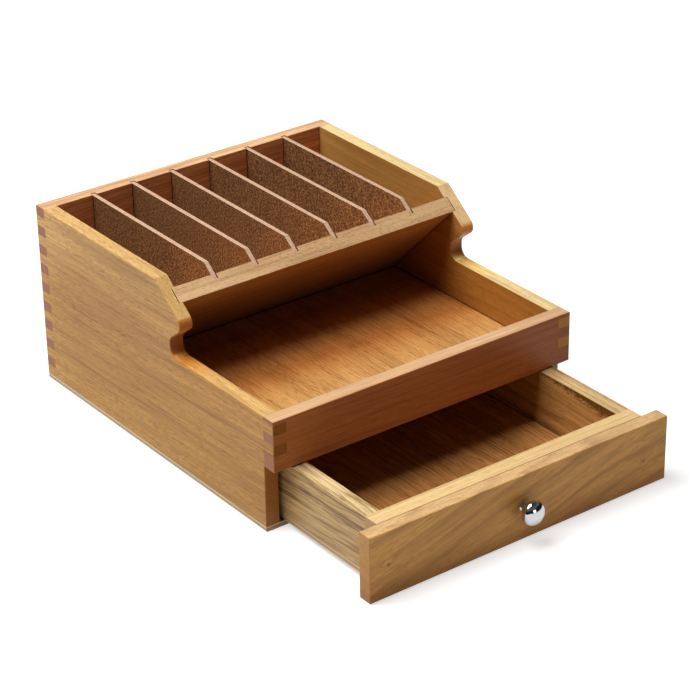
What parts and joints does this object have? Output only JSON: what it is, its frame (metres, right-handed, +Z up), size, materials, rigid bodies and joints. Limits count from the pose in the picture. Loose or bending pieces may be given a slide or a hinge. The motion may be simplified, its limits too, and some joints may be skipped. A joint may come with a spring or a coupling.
{
  "type": "desk organizer",
  "caption": "Finger-jointed wooden desk organizer with upright compartments between thin dividers at the back, an open tray in front of them and a pull-out drawer with a metal knob below.",
  "frame": {"origin": "middle of the base panel's underside", "axes": "+X to the right seen from the front, +Y from the front to the back, +Z up"},
  "size_m": [0.24, 0.3827, 0.1316],
  "materials": {
    "side_wood": "clear satin varnish",
    "back_wood": "clear satin varnish",
    "rail_wood": "clear satin varnish",
    "tray_plywood": "stained and varnished plywood",
    "board_wood": "clear satin varnish",
    "base_plywood": "bare plywood",
    "drawer_front_wood": "clear satin varnish",
    "drawer_wood": "clear satin varnish, coarse grain",
    "drawer_plywood": "varnished plywood",
    "hardboard": "smooth brown hardboard",
    "knob_chrome": "polished",
    "screw_steel": "zinc plated",
    "nail_steel": "bright"
  },
  "bodies": {
    "case": {"side_panel_left": "side_wood", "side_panel_right": "side_wood", "back_panel": "back_wood", "front_rail": "rail_wood", "tray_floor": "tray_plywood", "sloping_board": "board_wood", "base_panel": "base_plywood", "base_nails": "nail_steel"},
    "divider_1": {"divider_1": "hardboard"},
    "divider_2": {"divider_2": "hardboard"},
    "divider_3": {"divider_3": "hardboard"},
    "divider_4": {"divider_4": "hardboard"},
    "divider_5": {"divider_5": "hardboard"},
    "divider_6": {"divider_6": "hardboard"},
    "drawer": {"drawer_front": "drawer_front_wood", "drawer_box_front": "drawer_wood", "drawer_side_left": "drawer_wood", "drawer_side_right": "drawer_wood", "drawer_back": "drawer_wood", "drawer_bottom": "drawer_plywood", "drawer_bottom_nails": "nail_steel", "drawer_front_screws": "screw_steel", "drawer_knob": "knob_chrome", "knob_screw": "screw_steel"}
  },
  "joints": [
    {"name": "drawer_slide", "type": "slide", "parent": "case", "child": "drawer", "axis": [0, -1, 0], "range_m": [-0.095, 0.119]},
    {"name": "divider_1_lift", "type": "slide", "parent": "case", "child": "divider_1", "axis": [0, 0, 1], "range_m": [0, 0.07]},
    {"name": "divider_2_lift", "type": "slide", "parent": "case", "child": "divider_2", "axis": [0, 0, 1], "range_m": [0, 0.07]},
    {"name": "divider_3_lift", "type": "slide", "parent": "case", "child": "divider_3", "axis": [0, 0, 1], "range_m": [0, 0.07]},
    {"name": "divider_4_lift", "type": "slide", "parent": "case", "child": "divider_4", "axis": [0, 0, 1], "range_m": [0, 0.07]},
    {"name": "divider_5_lift", "type": "slide", "parent": "case", "child": "divider_5", "axis": [0, 0, 1], "range_m": [0, 0.07]},
    {"name": "divider_6_lift", "type": "slide", "parent": "case", "child": "divider_6", "axis": [0, 0, 1], "range_m": [0, 0.07]}
  ]
}
